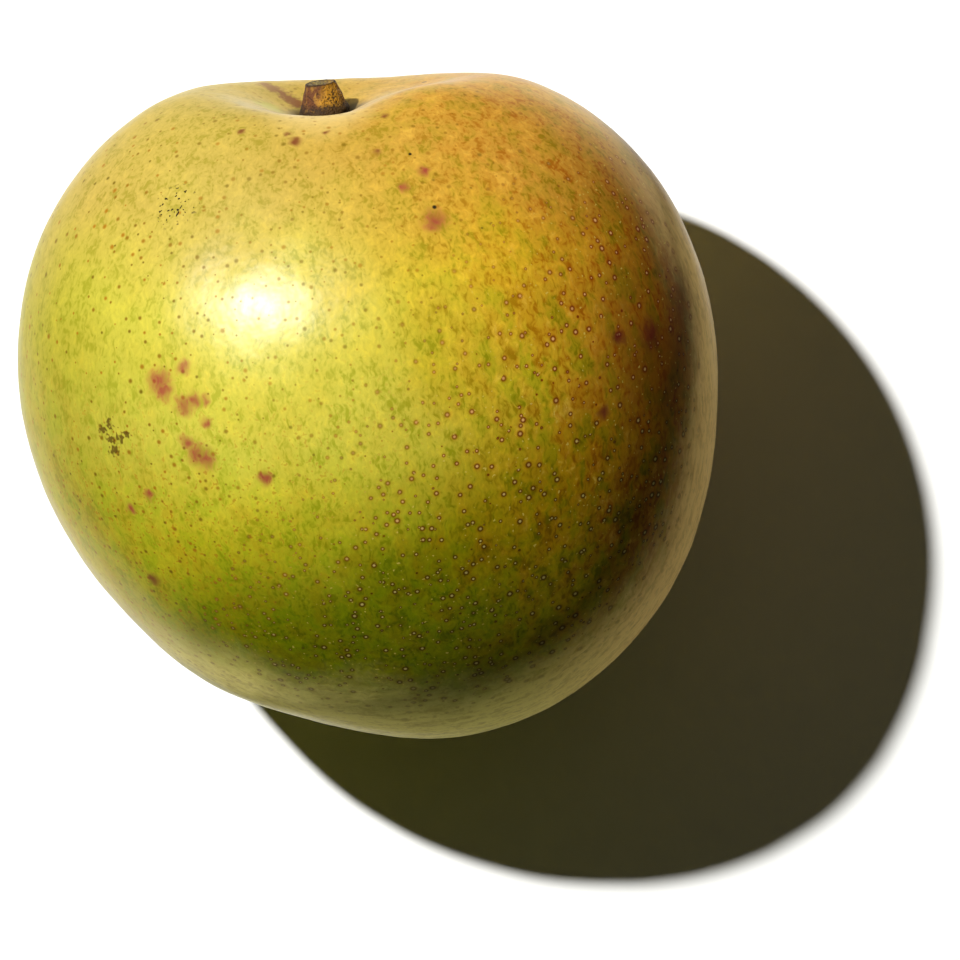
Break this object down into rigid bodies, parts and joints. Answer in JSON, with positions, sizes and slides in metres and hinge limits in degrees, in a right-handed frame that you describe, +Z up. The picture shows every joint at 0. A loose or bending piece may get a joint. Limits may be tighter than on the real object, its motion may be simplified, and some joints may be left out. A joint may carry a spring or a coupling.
{
  "type": "mango",
  "caption": "Round ripe mango lying on one flat cheek, with the short woody stub of its stem in a shallow hollow at the raised end.",
  "frame": {"origin": "middle of the bounding box at the surface the mango lies on", "axes": "+Y towards the stem, which rises 15 degrees; +X towards the fuller back of the fruit; +Z up, through the two cheeks"},
  "size_m": [0.0978, 0.0958, 0.0839],
  "materials": {
    "skin": "glossy waxy fruit skin, yellow-green with an orange-brown flush",
    "stem": "rough brown bark with a dry cut end"
  },
  "bodies": {
    "root": {"fruit": "skin", "stem": "stem"}
  },
  "joints": []
}
